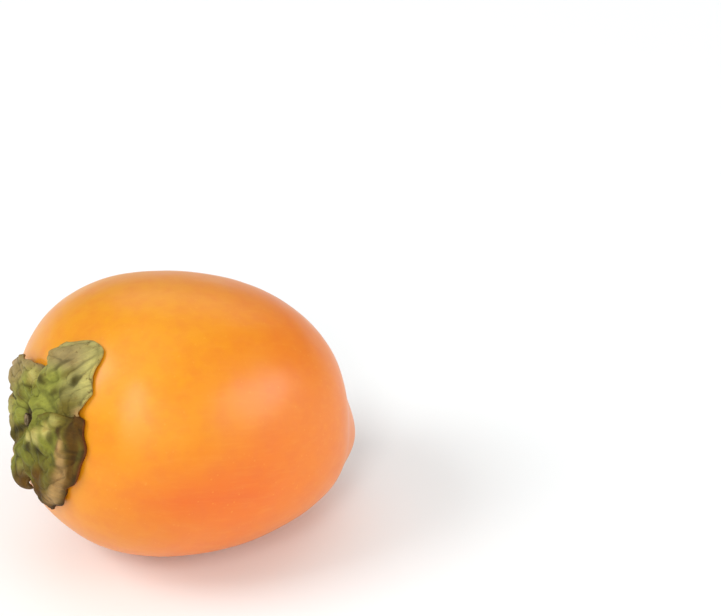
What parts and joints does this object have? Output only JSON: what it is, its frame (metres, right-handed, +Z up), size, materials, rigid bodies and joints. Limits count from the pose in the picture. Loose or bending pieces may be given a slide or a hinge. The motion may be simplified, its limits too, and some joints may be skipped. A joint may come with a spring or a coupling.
{
  "type": "persimmon",
  "caption": "Ripe tapered kaki persimmon as picked, lying on its side, with its leafy calyx and a short cut stem.",
  "frame": {"origin": "middle of the fruit's footprint box, on the surface that it rests on", "axes": "+Z up, +X towards the blossom end, so the calyx end is at -X and a little raised"},
  "size_m": [0.0872, 0.0688, 0.0679],
  "materials": {
    "skin": "satin",
    "sepal": "matte",
    "bark": "matte",
    "dry_style": "matte"
  },
  "bodies": {
    "root": {"fruit": "skin", "calyx": "sepal", "stem_stub": "bark", "style_tip": "dry_style"}
  },
  "joints": []
}
